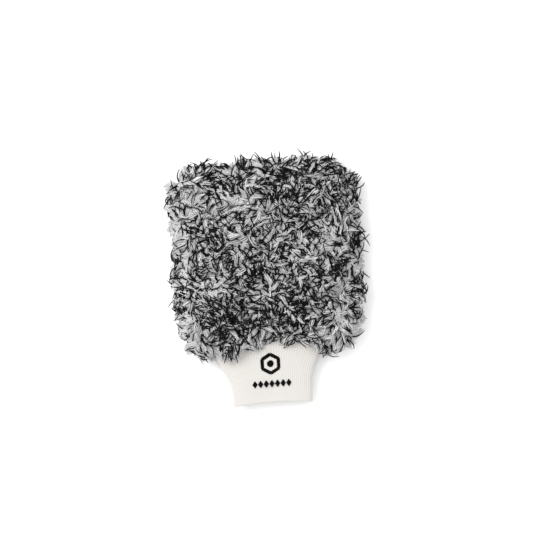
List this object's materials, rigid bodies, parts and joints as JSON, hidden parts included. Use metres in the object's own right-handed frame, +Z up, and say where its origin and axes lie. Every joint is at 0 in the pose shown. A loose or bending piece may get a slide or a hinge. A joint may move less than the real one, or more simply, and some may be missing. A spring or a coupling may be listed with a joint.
{
  "type": "wash mitt",
  "caption": "Thumbless plush wash mitt in light grey with black curled strands, lined, with an off-white ribbed knit cuff carrying a plain black stitched motif.",
  "frame": {"origin": "on the surface the mitt lies on, under the middle of its whole length and width", "axes": "+Z up out of the front panel, +Y from the cuff toward the fingers, +X across the mitt"},
  "size_m": [0.205, 0.256, 0.04],
  "materials": {
    "plush": "matte long pile, light grey tufts with black curled strands",
    "lining": "matte thin knit",
    "rib_knit": "matte off-white rib knit",
    "seam_thread": "satin polyester thread",
    "black_thread": "satin embroidery thread",
    "backing": "matte non-woven"
  },
  "bodies": {
    "root": {"front_plush_panel": "plush", "back_plush_panel": "plush", "front_lining": "lining", "back_lining": "lining", "shell_seam": "seam_thread", "lining_seam": "seam_thread", "rib_cuff": "rib_knit", "cuff_join_seam": "seam_thread", "cuff_side_seam": "seam_thread", "embroidery_backing": "backing", "motif_frame": "black_thread", "motif_dot": "black_thread", "motif_diamond_1": "black_thread", "motif_diamond_2": "black_thread", "motif_diamond_3": "black_thread", "motif_diamond_4": "black_thread", "motif_diamond_5": "black_thread", "motif_diamond_6": "black_thread", "motif_diamond_7": "black_thread"}
  },
  "joints": []
}
